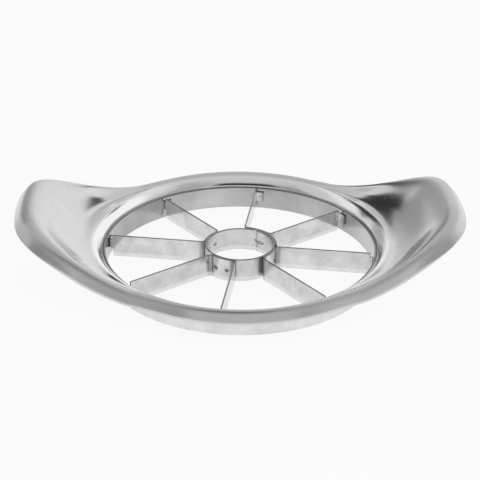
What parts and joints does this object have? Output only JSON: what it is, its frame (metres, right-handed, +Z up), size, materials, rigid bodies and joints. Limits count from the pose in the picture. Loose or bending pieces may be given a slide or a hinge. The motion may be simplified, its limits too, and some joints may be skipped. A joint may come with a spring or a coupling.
{
  "type": "apple slicer and corer",
  "caption": "Hand tool of sheet steel that cuts an apple into wedges: a ring of radial blades round a core ring, under a shell with two raised wing handles.",
  "frame": {"origin": "on the core ring's axis, in the plane of the blade ring's lower edge", "axes": "+X towards the right-hand wing, +Y away from the front, +Z up out of the shell"},
  "size_m": [0.1628, 0.116, 0.0283],
  "materials": {
    "polished_steel": "polished",
    "strip_steel": "bright rolled, lightly scratched",
    "weld_steel": "heat-tinted"
  },
  "bodies": {
    "root": {"body_shell": "polished_steel", "blade_ring": "strip_steel", "core_ring": "strip_steel", "blade_strip_east": "strip_steel", "blade_strip_north": "strip_steel", "blade_strip_west": "strip_steel", "blade_strip_south": "strip_steel", "core_weld_nuggets": "weld_steel", "foot_weld_nuggets": "weld_steel", "collar_weld_nuggets": "weld_steel"}
  },
  "joints": []
}
